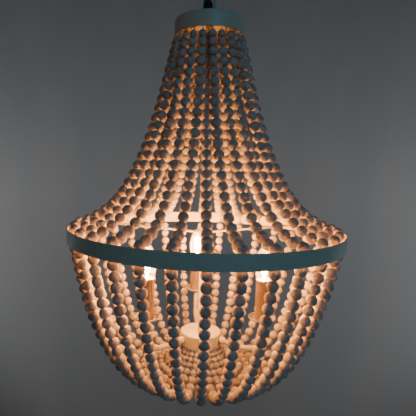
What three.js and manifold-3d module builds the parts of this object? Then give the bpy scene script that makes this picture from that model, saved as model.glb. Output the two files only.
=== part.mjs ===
// A beaded chandelier: a crown and a large ring carry thirty-two strings of wooden beads. They hang as chains,
// from the crown out to the ring and from the ring down under the hub. Three candle lights stand on curved arms
// inside.
// Millimetres, +Z up. The origin is the middle of the ceiling face of the rose.
import * as THREE from 'three';
import { mergeVertices } from 'three/addons/utils/BufferGeometryUtils.js';
import Module from 'manifold-3d';

const wasm = await Module();
wasm.setup();

// Driving dimensions. Heights inside the fixture are measured from the upper edge of the main ring.
const fit = 0.3; // the space between pieces that touch
const ringRadius = 260;
const ringHeight = 25;
const ringThickness = 2;

const crownRise = 357; // from the ring's upper edge to the crown's lower edge
const crownRadius = 65.5;
const crownHeight = 29;
const crownWall = 1.6;
const crownEdge = 1.5;

const hubDrop = 212; // from the ring's upper edge down to the hub's top
const hubRadius = 41;
const hubHeight = 24;
const hubWall = 1.5;
const hubEdge = 1.2;
const plateThickness = 2;

const pipeRadius = 5;
const pipeBore = 3.5;
const columnRadius = 6.25;
const nutRadius = 9;
const nutHeight = 7;
const endNutRadius = 10;
const endNutHeight = 12;
const endNutFloor = 4; // solid metal below the end nut's blind hole

const collarRadius = 10;
const collarHeight = 9;
const spokeRadius = 2.5;
const spokeHeading = 6; // degrees round from the front

const strandCount = 32;
const strandHeading = 1.3; // degrees round from the front
const rowOf = 4; // one string in so many starts further in, and the others share the crown's edge evenly
const tuckIn = 18; // how much further in it starts
const crownTwist = -4; // degrees that the crown is turned against the ring
const beadDiameter = 18;
const beadGap = 0.5; // between beads, along a string and side by side
const leadShares = [0.75, 0.86, 0.92]; // the first beads below the crown are smaller
const wireRadius = 0.9;
const hookDrop = 5; // bare wire below the crown
const hangDrop = 24; // from the ring's upper edge to where the lower part of a string hangs free
const upperChainShare = 1.06; // length of a hanging string over the straight distance
const tuckedChainShare = 1.048;
const lowerChainShare = 1.34;
const neckShare = 0.3; // a faceted bead's neck over its equator
const taperShare = 0.7; // the plain taper over the crowded beads that it stands for
const taperStep = 3; // beads between the rings of the taper
const bareEnd = 4; // bare wire at a string's inner end
const flatOut = Math.PI / 3;
const down = new THREE.Vector2(0, -1);

const lightCount = 3;
const lightHeading = 66; // degrees round from the front
const candleCircle = 124;
const armRadius = 5;
const armDrop = 12; // from the hub's top to the middle of the arm's root
const armDip = 7;
const armBend = 30;
const ferruleRadius = 6.75;
const ferruleLength = 12;
const panDrop = 166; // from the ring's upper edge to the underside of the drip pans
const panRadius = 25.5;
const panWall = 1.2;
const panRim = 6;
const sleeveRadius = 15;
const sleeveWall = 1.5;
const sleeveHeight = 76;
const sleeveLip = 1;
const holderStep = 2; // the lampholder's top lies this far below the sleeve's
const socketRadius = 7.3;
const socketDepth = 27;
const bulbCapLength = 24;
const bulbCapTip = 4;
const bulbRadius = 17;
const bulbHeight = 69; // above the sleeve
const bulbFootRadius = 13;
// The glass in shares of its radius and of its height above the sleeve
const bulbShares = [[0.76, 0], [0.87, 0.1], [1, 0.32], [0.95, 0.52], [0.66, 0.75], [0, 1]];

const loopRod = 3.25;
const loopBend = 10.25;
const loopLeg = 25; // straight part of the loop above its collar
const loopCollarRadius = 10;
const loopCollarHeight = 10;
const loopRoot = 4; // how deep the legs stand in the collar

const hookRod = 3;
const hookBend = 12;
const hookSweep = (3 * Math.PI) / 2;
const hookShank = 40;
const hookSeat = 12; // how deep the shank stands in the rose

const gripOffset = 20; // in front of the loop
const gripLean = -3.5;
const gripRadius = 10.5;
const gripTopRadius = 8.5;
const gripHeight = 28;
const gripFlange = 3;
const gripShoulder = 4;
const cordRadius = 4.2;
const swingGap = 0.8; // lets the grip tilt under the cord's end

const roseRadius = 48;
const roseHeight = 24;
const roseEdge = 8;

const blockLength = 26;
const blockWidth = 11;
const blockHeight = 12;
const blockNotch = 2;
const blockPoles = 3;
const blockOffset = 20;

// Sides of the round pieces
const ringSides = 60;
const roundSides = 20;
const smallSides = 10;
const rodSides = 6;
const hexSides = 6;
const cordSides = 8;
const armSteps = 8;
const loopSteps = 20;
const hookSteps = 12;
const cordSteps = 5;

// Places worked out from the sizes
const ringInner = (ringRadius - ringThickness) * Math.cos(Math.PI / ringSides); // to the middle of a facet
const crownTop = crownRise + crownHeight;
const crownInner = crownRadius - crownWall;
const crownFlat = crownInner * Math.cos(Math.PI / strandCount);
const ringTurn = (2 * Math.PI) / strandCount; // between neighbouring strings on the ring
const crownTurn = (ringTurn * rowOf) / (rowOf - 1); // and along the crown's edge
const hubBottom = -hubDrop - hubHeight;
const plateTop = hubBottom - fit;
const plateBottom = plateTop - plateThickness;
const spokeLevel = -ringHeight / 2;
const loopBase = crownTop + fit;
const loopLegTop = loopBase + loopCollarHeight + loopLeg;
const loopTop = loopLegTop + loopBend;
const hookLow = loopTop - loopRod - fit - hookRod; // centre of the hook's rod where the loop hangs on it
const hookCentre = hookLow + hookBend;
const shankBottom = hookCentre + hookBend;
const roseBottom = shankBottom + hookShank;
const ceiling = roseBottom + roseHeight;
const gripTop = loopBase + gripHeight;
const panTop = -panDrop + panWall;
const sleeveBottom = panTop + fit;
const sleeveTop = sleeveBottom + sleeveHeight;
const holderRadius = sleeveRadius - sleeveWall - fit;
const holderTop = sleeveTop - holderStep;

// Finishes
const paint = { color: 0xe8e2d4, roughness: 0.55, metalness: 0.1 };
const wood = { color: 0xcbb9a4, roughness: 0.8, metalness: 0 };
const wax = { color: 0xe0b98a, roughness: 0.5, metalness: 0 };
const steel = { color: 0xb9b6ae, roughness: 0.4, metalness: 0.9 };
const black = { color: 0x15161a, roughness: 0.4, metalness: 0 };
const glass = { color: 0xfff4e0, roughness: 0.15, metalness: 0 };
const porcelain = { color: 0xf0eee8, roughness: 0.3, metalness: 0 };

// Turns a flat outline of [radius, height] pairs about the Z axis.
function turned(outline, sides) {
  const points = outline.map(([radius, height]) => new THREE.Vector2(radius, height));
  return new THREE.LatheGeometry(points, sides).rotateX(Math.PI / 2);
}

// A round pipe from its inner and outer radius and its lower and upper height. The bore's facets keep the full
// inner radius clear.
function pipe(inner, outer, low, high, sides) {
  const bore = inner / Math.cos(Math.PI / sides);
  return turned([[bore, low], [outer, low], [outer, high], [bore, high], [bore, low]], sides);
}

// A round bar that follows a curve.
function bar(curve, radius, sides, steps) {
  const corners = Array.from({ length: sides }, (_, k) => {
    const turn = (2 * Math.PI * k) / sides;
    return new THREE.Vector2(radius * Math.cos(turn), radius * Math.sin(turn));
  });
  const section = new THREE.Shape(corners);
  return new THREE.ExtrudeGeometry(section, { extrudePath: curve, steps, bevelEnabled: false });
}

// Joins several overlapping shapes into one closed body.
function joined(shapes) {
  const solids = shapes.map((shape) => {
    const bare = shape.clone();
    bare.deleteAttribute('normal');
    bare.deleteAttribute('uv');
    const merged = mergeVertices(bare);
    const corners = merged.index ? merged.index.array : merged.attributes.position.array.map((_, k) => k);
    return new wasm.Manifold(new wasm.Mesh({
      numProp: 3,
      vertProperties: new Float32Array(merged.attributes.position.array),
      triVerts: new Uint32Array(corners),
    }));
  });
  const whole = solids.reduce((first, second) => first.add(second)).getMesh();
  const result = new THREE.BufferGeometry();
  result.setAttribute('position', new THREE.BufferAttribute(new Float32Array(whole.vertProperties), 3));
  result.setIndex(new THREE.BufferAttribute(new Uint32Array(whole.triVerts), 1));
  result.computeVertexNormals();
  return result;
}

function part(name, shape, finish) {
  const mesh = new THREE.Mesh(shape, new THREE.MeshStandardMaterial(finish));
  mesh.name = name;
  return mesh;
}

// An arc about a middle, from one direction round in the plane that holds it and +Z.
class Bend extends THREE.Curve {
  constructor(middle, from, radius, sweep) {
    super();
    Object.assign(this, { middle, from, radius, sweep });
  }

  getPoint(share, target = new THREE.Vector3()) {
    const turn = this.sweep * share;
    target.copy(this.middle).addScaledVector(this.from, this.radius * Math.cos(turn));
    target.z += this.radius * Math.sin(turn);
    return target;
  }
}

// Turns a piece that is modelled along +X to a heading, in degrees round from the front (-Y) towards +X.
function facing(mesh, heading) {
  mesh.rotation.z = THREE.MathUtils.degToRad(heading) - Math.PI / 2;
  return mesh;
}

// The curve of a chain that hangs from start to end: the place after a length s along it.
function hangingChain(start, end, length) {
  const across = Math.abs(end.x - start.x);
  const rise = end.y - start.y;
  const target = Math.sqrt(length ** 2 - rise ** 2) / across;
  let low = 0.001;
  let high = 20;
  for (let turn = 0; turn < 60; turn += 1) {
    const middle = (low + high) / 2;
    if (Math.sinh(middle) / middle < target) low = middle;
    else high = middle;
  }
  const sag = across / (2 * low);
  const lowest = across / 2 - sag * Math.atanh(rise / length);
  const before = sag * Math.sinh(-lowest / sag);
  const side = Math.sign(end.x - start.x);
  return (s) => {
    const x = lowest + sag * Math.asinh((s + before) / sag);
    const y = sag * (Math.cosh((x - lowest) / sag) - Math.cosh(lowest / sag));
    return new THREE.Vector2(start.x + side * x, start.y + y);
  };
}

// How far the strings beside a string are from it, at its distance from the axis and its share of the way down
// to the ring. The tucked strings start between two others, in a row of their own.
function apart(reach, share, tucked) {
  const offset = tuckIn * (1 - share);
  const betweenRows = THREE.MathUtils.lerp(crownTurn / 2, ringTurn, share);
  const toOtherRow = Math.hypot(offset, (2 * reach + (tucked ? offset : -offset)) * Math.sin(betweenRows / 2));
  const inRow = 2 * reach * Math.sin(THREE.MathUtils.lerp(crownTurn, ringTurn, share) / 2);
  return tucked ? toOtherRow : Math.min(toOtherRow, inRow);
}

// Threads beads on a chain. A bead is full size unless it leads or the strings beside it leave it less room.
function threaded(chain, length, leads, room) {
  const beads = [];
  let used = 0;
  for (;;) {
    const spot = chain(Math.min(used + beadDiameter / 2, length));
    const whole = beadDiameter * (leads[beads.length] ?? 1);
    const size = Math.min(whole, room(spot.x, Math.min(used / length, 1)) - beadGap);
    const pitch = size + beadGap;
    if (used + pitch > length) break;
    beads.push({ at: used + pitch / 2, size, pitch });
    used += pitch;
  }
  const spare = (length - used) / beads.length;
  return beads.map(({ at, size, pitch }, k) => ({ at: at + (k + 1 / 2) * spare, size, pitch: pitch + spare }));
}

// Skins triangular rings along a string. Each has a middle, a direction along the string, a reach, a turn and
// an offset sideways.
function skinned(stations) {
  const corners = [];
  const faces = [];
  stations.forEach(({ middle, along, reach, turn, aside }) => {
    for (let k = 0; k < 3; k += 1) {
      const angle = turn + (2 * Math.PI * k) / 3;
      const out = reach * Math.cos(angle);
      corners.push(middle.x - out * along.y, aside + reach * Math.sin(angle), middle.y + out * along.x);
    }
  });
  for (let row = 0; row + 1 < stations.length; row += 1) {
    const back = stations[row].turn > stations[row + 1].turn;
    for (let k = 0; k < 3; k += 1) {
      const next = (k + 1) % 3;
      const [a, b] = [row * 3 + k, row * 3 + next];
      const [c, d] = [a + 3, b + 3];
      if (back) faces.push(a, d, b, a, c, d);
      else faces.push(a, c, b, b, c, d);
    }
  }
  const last = (stations.length - 1) * 3;
  faces.push(0, 1, 2, last, last + 2, last + 1);
  const shape = new THREE.BufferGeometry();
  shape.setAttribute('position', new THREE.BufferAttribute(new Float32Array(corners), 3));
  shape.setIndex(faces);
  shape.computeVertexNormals();
  return shape;
}

// One bead string from its hook under the crown's top to the plate below the hub. Its hook is turned by lean
// from its place on the ring, and a tucked string starts further in. A faceted bead has a triangular equator
// whose side is the bead's diameter, flat side out, and its narrow necks are turned the other way round. Past
// its lowest point the string is one plain taper, because the beads there crowd together inside the others.
function stringShape(tucked, lean) {
  const hookCircle = crownFlat - fit - wireRadius - (tucked ? tuckIn : 0);
  const wireCircle = ringInner - fit - wireRadius;
  const beadCircle = ringInner - fit - beadDiameter / 2;
  const start = new THREE.Vector2(hookCircle * Math.cos(lean), crownRise - hookDrop);
  const ringUpper = new THREE.Vector2(wireCircle, 0);
  const ringLower = new THREE.Vector2(wireCircle, -hangDrop + beadDiameter / 2);
  const under = new THREE.Vector2(beadCircle, -hangDrop);
  const end = new THREE.Vector2(hubRadius - hubWall - wireRadius, plateBottom - fit);
  const upperLength = (tucked ? tuckedChainShare : upperChainShare) * start.distanceTo(ringUpper);
  const lowerLength = lowerChainShare * under.distanceTo(end);
  const upper = hangingChain(start, ringUpper, upperLength);
  const lower = hangingChain(under, end, lowerLength);
  const stations = [];
  const station = (middle, along, reach, turn) => {
    const back = THREE.MathUtils.clamp((ringUpper.x - middle.x) / (ringUpper.x - start.x), 0, 1);
    const aside = middle.y > 0 ? hookCircle * Math.sin(lean) * back : 0;
    stations.push({ middle, along, reach, turn, aside });
  };
  const wire = (x, y) => station(new THREE.Vector2(x, y), down, wireRadius, 0);
  const onChain = (chain, s, reach, turn) => {
    const along = chain(s + wireRadius).sub(chain(s - wireRadius)).normalize();
    station(chain(s), along, reach, turn);
  };
  const bead = (chain, { at, size, pitch }, k) => {
    onChain(chain, at - pitch / 2, k === 0 ? wireRadius : (neckShare * size) / Math.sqrt(3), 0);
    onChain(chain, at, size / Math.sqrt(3), flatOut);
  };

  wire(start.x, crownTop - crownWall - fit);
  const roomAbove = (reach, share) => apart(reach, share, tucked);
  threaded(upper, upperLength, leadShares, roomAbove).forEach((one, k) => bead(upper, one, k));
  wire(ringUpper.x, ringUpper.y);
  wire(ringLower.x, ringLower.y);
  const roomBelow = (reach) => apart(reach, 1, false);
  const hung = threaded(lower, lowerLength - bareEnd, [], roomBelow);
  const falling = hung.filter(({ at }) => lower(at + wireRadius).y < lower(at).y);
  falling.forEach((one, k) => bead(lower, one, k));
  const crowded = hung.slice(falling.length);
  crowded.filter((_, k) => k % taperStep === 0).forEach(({ at, size }) => {
    onChain(lower, at, (taperShare * size) / Math.sqrt(3), 0);
  });
  onChain(lower, lowerLength, wireRadius, 0);
  return skinned(stations);
}

// Every group of strings has a tucked one first. The others lean sideways to share the crown's edge evenly, and
// all of them lean with the crown's twist.
function strings() {
  const shapes = Array.from({ length: rowOf }, (_, place) => {
    const spread = place === 0 ? 0 : (place - rowOf / 2) * (crownTurn - ringTurn);
    return stringShape(place === 0, spread + THREE.MathUtils.degToRad(crownTwist));
  });
  return Array.from({ length: strandCount }, (_, k) => {
    const name = `strand_${String(k + 1).padStart(2, '0')}`;
    return facing(part(name, shapes[k % rowOf], wood), strandHeading + (360 * k) / strandCount);
  });
}

// The crown is a shallow cup, open below. The pipe passes through its top, between the loop and a nut.
function crown() {
  const cup = turned([
    [pipeRadius + fit, crownTop - crownWall],
    [crownInner, crownTop - crownWall],
    [crownInner, crownRise],
    [crownRadius, crownRise],
    [crownRadius, crownTop - crownEdge],
    [crownRadius - crownEdge, crownTop],
    [pipeRadius + fit, crownTop],
    [pipeRadius + fit, crownTop - crownWall],
  ], strandCount);
  const nutTop = crownTop - crownWall - fit;
  return [
    part('crown_cap', cup, paint),
    part('crown_nut', pipe(pipeRadius + fit, nutRadius, nutTop - nutHeight, nutTop, hexSides), steel),
  ];
}

// A threaded pipe runs from the loop's collar to the nut under the hub; the column is a sleeve over it.
function column() {
  const pipeLow = plateBottom - fit - endNutHeight + endNutFloor + fit;
  const pipeHigh = loopBase + loopCollarHeight - loopRoot - fit;
  const columnHigh = crownTop - crownWall - fit - nutHeight - fit;
  const nutHigh = plateBottom - fit;
  const nut = turned([
    [0, nutHigh - endNutHeight],
    [endNutRadius - endNutFloor, nutHigh - endNutHeight],
    [endNutRadius, nutHigh - endNutHeight + endNutFloor],
    [endNutRadius, nutHigh],
    [pipeRadius + fit, nutHigh],
    [pipeRadius + fit, nutHigh - endNutHeight + endNutFloor],
    [0, nutHigh - endNutHeight + endNutFloor],
  ], smallSides);
  return [
    part('lamp_pipe', pipe(pipeBore, pipeRadius, pipeLow, pipeHigh, smallSides), steel),
    part('column_tube', pipe(pipeRadius + fit, columnRadius, -hubDrop + fit, columnHigh, smallSides), paint),
    part('end_nut', nut, paint),
  ];
}

function ring() {
  const reach = ringInner - fit;
  const [collarLow, collarHigh] = [spokeLevel - collarHeight / 2, spokeLevel + collarHeight / 2];
  const collar = pipe(columnRadius + fit, collarRadius, collarLow, collarHigh, smallSides);
  const spokes = [0, 1, 2].map((k) => {
    const line = new THREE.LineCurve3(
      new THREE.Vector3((collarRadius + columnRadius) / 2, 0, spokeLevel),
      new THREE.Vector3(reach, 0, spokeLevel),
    );
    const heading = THREE.MathUtils.degToRad(spokeHeading + (360 * k) / lightCount) - Math.PI / 2;
    return bar(line, spokeRadius, rodSides, 1).rotateZ(heading);
  });
  return [
    part('main_ring', pipe(ringInner, ringRadius, -ringHeight, 0, ringSides), paint),
    part('spoke_frame', joined([collar, ...spokes]), paint),
  ];
}

// The hub is a drum, open below, that holds the wires. The plate closes it and carries the strings' inner ends.
function hub() {
  const drum = turned([
    [pipeRadius + fit, -hubDrop - hubWall],
    [hubRadius - hubWall, -hubDrop - hubWall],
    [hubRadius - hubWall, hubBottom],
    [hubRadius, hubBottom],
    [hubRadius, -hubDrop - hubEdge],
    [hubRadius - hubEdge, -hubDrop],
    [pipeRadius + fit, -hubDrop],
    [pipeRadius + fit, -hubDrop - hubWall],
  ], roundSides);
  const plate = pipe(pipeRadius + fit, hubRadius, plateBottom, plateTop, roundSides);
  const section = new THREE.Shape();
  section.moveTo(0, 0);
  section.lineTo(blockLength, 0);
  const pole = blockLength / blockPoles;
  for (let k = blockPoles; k > 0; k -= 1) {
    section.lineTo(k * pole, blockHeight);
    section.lineTo((k - 1) * pole + blockNotch, blockHeight);
    if (k > 1) section.lineTo((k - 1) * pole + blockNotch, blockHeight - blockNotch);
    if (k > 1) section.lineTo((k - 1) * pole, blockHeight - blockNotch);
  }
  section.lineTo(0, blockHeight - blockNotch);
  const block = new THREE.ExtrudeGeometry(section, { depth: blockWidth, bevelEnabled: false });
  block.translate(-blockLength / 2, 0, -blockWidth / 2).rotateX(Math.PI / 2);
  block.rotateZ(Math.PI / 2).translate(blockOffset, 0, plateTop + fit);
  return [
    part('hub_shell', drum, paint),
    part('strand_plate', plate, paint),
    part('terminal_block', block, porcelain),
  ];
}

// One candle light: a curved arm from the hub with the drip pan brazed on its end, and the lampholder, sleeve
// and bulb that stand on it.
function light(number, heading) {
  const rootLevel = -hubDrop - armDrop;
  const armTop = -panDrop + panWall / 2;
  const ferruleRoot = new THREE.Vector3(hubRadius + fit, 0, rootLevel);
  const ferruleEnd = new THREE.Vector3(hubRadius + fit + ferruleLength, 0, rootLevel);
  const root = ferruleRoot.clone().lerp(ferruleEnd, 1 / 2);
  const dip = rootLevel - armDip;
  const route = new THREE.CurvePath();
  route.add(new THREE.CubicBezierCurve3(
    root,
    new THREE.Vector3(candleCircle - armBend, 0, dip),
    new THREE.Vector3(candleCircle, 0, dip),
    new THREE.Vector3(candleCircle, 0, dip + armBend),
  ));
  route.add(new THREE.LineCurve3(
    new THREE.Vector3(candleCircle, 0, dip + armBend),
    new THREE.Vector3(candleCircle, 0, armTop),
  ));
  const pan = turned([
    [0, -panDrop],
    [panRadius - panRim, -panDrop],
    [panRadius, -panDrop + panRim],
    [panRadius - panWall, -panDrop + panRim],
    [panRadius - panRim, panTop],
    [0, panTop],
  ], smallSides);
  const arm = joined([
    bar(route, armRadius, rodSides, armSteps),
    bar(new THREE.LineCurve3(ferruleRoot, ferruleEnd), ferruleRadius, smallSides, 1),
    pan.translate(candleCircle, 0, 0),
  ]);
  const holder = turned([
    [0, sleeveBottom],
    [holderRadius, sleeveBottom],
    [holderRadius, holderTop],
    [socketRadius, holderTop],
    [socketRadius, holderTop - socketDepth],
    [0, holderTop - socketDepth],
  ], smallSides);
  const sleeve = turned([
    [sleeveRadius - sleeveWall, sleeveBottom],
    [sleeveRadius, sleeveBottom],
    [sleeveRadius, sleeveTop - sleeveLip],
    [sleeveRadius - sleeveLip, sleeveTop],
    [sleeveRadius - sleeveWall, sleeveTop],
    [sleeveRadius - sleeveWall, sleeveBottom],
  ], smallSides);
  const capRadius = socketRadius - fit;
  const foot = holderTop + fit;
  const bulb = turned([
    [0, foot - bulbCapLength],
    [capRadius - bulbCapTip, foot - bulbCapLength],
    [capRadius, foot - bulbCapLength + bulbCapTip],
    [capRadius, foot],
    [bulbFootRadius, foot],
    ...bulbShares.map(([reach, rise]) => [bulbRadius * reach, sleeveTop + bulbHeight * rise]),
  ], smallSides);
  const pieces = [
    part(`arm_${number}`, arm, paint),
    part(`lampholder_${number}`, holder, porcelain),
    part(`candle_sleeve_${number}`, sleeve, wax),
    part(`bulb_${number}`, bulb, glass),
  ];
  pieces.slice(1).forEach((piece) => piece.geometry.translate(candleCircle, 0, 0));
  return pieces.map((piece) => facing(piece, heading));
}

// The loop stands in a screwed collar on the crown.
function loop() {
  const legBottom = loopBase + loopCollarHeight - loopRoot;
  const collarTop = loopBase + loopCollarHeight;
  const route = new THREE.CurvePath();
  route.add(new THREE.LineCurve3(
    new THREE.Vector3(-loopBend, 0, legBottom),
    new THREE.Vector3(-loopBend, 0, loopLegTop),
  ));
  route.add(new Bend(new THREE.Vector3(0, 0, loopLegTop), new THREE.Vector3(-1, 0, 0), loopBend, Math.PI));
  route.add(new THREE.LineCurve3(
    new THREE.Vector3(loopBend, 0, loopLegTop),
    new THREE.Vector3(loopBend, 0, legBottom),
  ));
  const collar = pipe(pipeRadius + fit, loopCollarRadius, loopBase, collarTop, smallSides);
  return part('hanging_loop', joined([collar, bar(route, loopRod, rodSides, loopSteps)]), paint);
}

// The black grip holds the cord beside the loop. The cord's end stands a little clear, so that the light can
// swing.
function grip() {
  const outline = [
    [0, loopBase],
    [gripRadius, loopBase],
    [gripRadius, loopBase + gripFlange],
    [gripTopRadius, gripTop - gripShoulder],
    [cordRadius, gripTop],
    [0, gripTop],
  ];
  const body = turned(outline, smallSides).translate(gripLean, -gripOffset, 0);
  return part('cord_grip', body, black);
}

// What stays on the ceiling: the rose, the hook that the loop hangs on, and the cord that runs up to the rose.
function ceilingPieces() {
  const shank = new THREE.LineCurve3(
    new THREE.Vector3(0, 0, shankBottom - hookRod),
    new THREE.Vector3(0, 0, roseBottom + hookSeat - fit),
  );
  const curl = new Bend(new THREE.Vector3(0, 0, hookCentre), new THREE.Vector3(0, -1, 0), hookBend, -hookSweep);
  const hook = joined([bar(shank, hookRod, rodSides, 1), bar(curl, hookRod, rodSides, hookSteps)]);
  const cordLine = new THREE.LineCurve3(
    new THREE.Vector3(gripLean, -gripOffset, gripTop + swingGap),
    new THREE.Vector3(gripLean, -gripOffset, roseBottom - fit),
  );
  const rose = turned([
    [hookRod + fit, roseBottom],
    [roseRadius - roseEdge, roseBottom],
    [roseRadius, roseBottom + roseEdge],
    [roseRadius, ceiling],
    [0, ceiling],
    [0, roseBottom + hookSeat],
    [hookRod + fit, roseBottom + hookSeat],
    [hookRod + fit, roseBottom],
  ], roundSides);
  return [
    part('ceiling_rose', rose, paint),
    part('ceiling_hook', hook, steel),
    part('supply_cord', bar(cordLine, cordRadius, cordSides, cordSteps), black),
  ];
}

const chandelier = new THREE.Group();
chandelier.add(...crown(), ...column(), ...ring(), ...hub(), loop(), grip());
for (let k = 0; k < lightCount; k += 1) chandelier.add(...light(k + 1, lightHeading + (360 * k) / lightCount));
chandelier.add(...strings(), ...ceilingPieces());
chandelier.position.z = -ceiling;

export default chandelier;
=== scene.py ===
# %% [markdown]
# # A beaded chandelier
#
# A crown and a wide ring carry thirty-two strings of wooden beads. Each string hangs as a chain
# does, first from the crown out to the ring, then from the ring down under the hub in the middle.
# Three candle lights stand inside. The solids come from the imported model. This file dresses them:
# it threads the single beads, runs the wax down the sleeves, blows the bulbs and paints the metal.

# %% Load the frame
import math
import random

import bpy
import numpy as np
from mathutils import Matrix, Vector


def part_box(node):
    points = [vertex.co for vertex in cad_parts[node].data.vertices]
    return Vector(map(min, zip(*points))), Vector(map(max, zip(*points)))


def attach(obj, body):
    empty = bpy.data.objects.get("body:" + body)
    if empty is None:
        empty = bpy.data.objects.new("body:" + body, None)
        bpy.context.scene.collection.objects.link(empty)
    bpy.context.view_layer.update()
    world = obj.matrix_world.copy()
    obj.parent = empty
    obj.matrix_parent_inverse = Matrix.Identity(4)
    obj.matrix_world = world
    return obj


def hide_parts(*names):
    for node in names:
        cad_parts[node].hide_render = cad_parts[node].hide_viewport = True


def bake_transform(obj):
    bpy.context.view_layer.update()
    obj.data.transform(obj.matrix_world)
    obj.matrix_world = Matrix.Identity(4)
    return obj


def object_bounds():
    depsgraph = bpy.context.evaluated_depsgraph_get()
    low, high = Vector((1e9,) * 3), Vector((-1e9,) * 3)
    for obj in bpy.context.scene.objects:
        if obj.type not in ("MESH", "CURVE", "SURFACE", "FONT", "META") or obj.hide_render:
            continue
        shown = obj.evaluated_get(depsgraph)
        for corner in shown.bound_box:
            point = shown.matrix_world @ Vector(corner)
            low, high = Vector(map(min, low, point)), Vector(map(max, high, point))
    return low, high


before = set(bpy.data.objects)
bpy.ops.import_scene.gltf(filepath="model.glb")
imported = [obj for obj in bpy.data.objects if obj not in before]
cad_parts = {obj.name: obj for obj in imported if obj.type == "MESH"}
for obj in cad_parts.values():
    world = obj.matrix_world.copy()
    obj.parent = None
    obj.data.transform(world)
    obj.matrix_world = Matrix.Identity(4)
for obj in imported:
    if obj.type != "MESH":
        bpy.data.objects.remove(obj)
cad_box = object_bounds()
MM = 0.001
print("nodes", len(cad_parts), "size in mm", [round(v / MM) for v in cad_box[1] - cad_box[0]])

# %% [markdown]
# ## Sizes read from the frame
#
# Sizes could all be typed in again here, but then the looks would drift from the solids at the next
# change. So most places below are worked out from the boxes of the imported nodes. A node's box gives
# its lowest and its highest corner, and for a turned piece its middle is the axis and its half
# width is the radius.

# %% Read the main sizes
def low(node):
    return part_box(node)[0].z


def high(node):
    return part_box(node)[1].z


def half_width(node):
    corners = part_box(node)
    return (corners[1].x - corners[0].x) / 2


def half_depth(node):
    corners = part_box(node)
    return (corners[1].y - corners[0].y) / 2


def axis_of(node):
    """Where a turned piece's axis meets the level of the ceiling."""
    middle = (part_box(node)[0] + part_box(node)[1]) / 2
    return Vector((middle.x, middle.y, 0))


FIT = 0.3 * MM  # room between two pieces that are fitted together
STRINGS = sum(name.startswith("strand_") and name != "strand_plate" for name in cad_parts)
LIGHTS = sum(name.startswith("bulb_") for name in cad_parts)
ring_top, ring_bottom, ring_radius = high("main_ring"), low("main_ring"), half_width("main_ring")
crown_top, crown_bottom, crown_radius = high("crown_cap"), low("crown_cap"), half_depth("crown_cap")
hub_top, hub_bottom, hub_radius = high("hub_shell"), low("hub_shell"), half_depth("hub_shell")
plate_bottom, plate_top = low("strand_plate"), high("strand_plate")
pipe_bore = half_depth("lamp_pipe") + FIT
print("strings", STRINGS, "lights", LIGHTS, "ring radius in mm", round(ring_radius / MM, 1))

# %% [markdown]
# ## Camera
#
# The photograph was taken from the front, a little above the ring, with the camera rolled slightly
# so that the light leans. A camera that looks straight at the light can't fit the ring and the
# crown at once: the picture was cut out of a wider one. So besides its place and its turns the
# camera has a shifted view. It comes first.

# %% Place the camera
CAMERA_PLACE = Vector((-1.6 * MM, -768.4 * MM, ring_top + 107.1 * MM))
CAMERA_DOWN = 0.0948
CAMERA_TURN = 0.0679
CAMERA_ROLL = 0.0224
CAMERA_SHIFT = 0.075  # share of the picture's width
CAMERA_LENS = 34  # mm, as is the sensor's width
CAMERA_SENSOR = 36
CAMERA_NEAREST = 0.01
camera = bpy.data.objects.new("camera", bpy.data.cameras.new("camera"))
bpy.context.collection.objects.link(camera)
camera.data.lens = CAMERA_LENS
camera.data.sensor_width = CAMERA_SENSOR
camera.data.shift_x = CAMERA_SHIFT
camera.data.clip_start = CAMERA_NEAREST
camera.matrix_world = (
    Matrix.Translation(CAMERA_PLACE)
    @ Matrix.Rotation(CAMERA_TURN, 4, "Z")
    @ Matrix.Rotation(math.pi / 2 - CAMERA_DOWN, 4, "X")
    @ Matrix.Rotation(CAMERA_ROLL, 4, "Z")
)
bpy.context.scene.camera = camera
print("camera at", [round(v, 3) for v in CAMERA_PLACE])

# %% [markdown]
# ## Outlines
#
# A maker draws a turned piece as one half of its section: a line of points, each with a radius and
# a height. Two helpers draw the parts that come back again and again, a round corner and a row of
# small steps. Curve objects could do the same by hand, but a list of points is easier to fit to the
# solids.

# %% Draw parts of an outline
QUARTER = math.pi / 2


def between(first, second, share):
    return first + (second - first) * share


def arc(centre, reach, start, end, steps):
    """Points of an arc from one angle to another. reach is its radius, or a pair: across and up."""
    across, up = reach if isinstance(reach, tuple) else (reach, reach)
    turns = [between(start, end, k / steps) for k in range(steps + 1)]
    return [(centre[0] + across * math.cos(t), centre[1] + up * math.sin(t)) for t in turns]


def stepped(radius, height, steps):
    """Points given in mm, out from a radius and up from a height."""
    return [(radius + out * MM, height + up * MM) for out, up in steps]


# %% [markdown]
# ## Turned and swept shapes
#
# Most pieces of a lamp are turned on a lathe or are bent rods. Both are rows of points with faces
# between one row and the next, so one helper makes the faces and two make the rows. The screw
# modifier and a bevelled curve would give similar shapes, but here each point's place is known,
# which the beads and the wax need.

# %% Lay faces between rows
def skin(rows):
    """Faces between rings of point numbers. A ring that stands on the axis repeats its one point."""
    faces = []
    for under, over in zip(rows, rows[1:]):
        for k in range(len(under)):
            ahead = (k + 1) % len(under)
            corners = [under[k], under[ahead], over[ahead], over[k]]
            kept = [corner for i, corner in enumerate(corners) if corner != corners[i - 1]]
            if len(kept) > 2:
                faces.append(kept)
    return faces


# %% Turn an outline about an upright axis
ON_AXIS = 1e-7


def turned(outline, sides, closed=False):
    """Points and faces of an outline turned about Z. closed joins its last point to its first."""
    points, rows = [], []
    for radius, height in outline:
        if radius < ON_AXIS:
            rows.append([len(points)] * sides)
            points.append((0.0, 0.0, height))
            continue
        rows.append(list(range(len(points), len(points) + sides)))
        for k in range(sides):
            turn = 2 * math.pi * k / sides
            points.append((radius * math.cos(turn), radius * math.sin(turn), height))
    if closed:
        rows.append(rows[0])
    return points, skin(rows)


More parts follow.
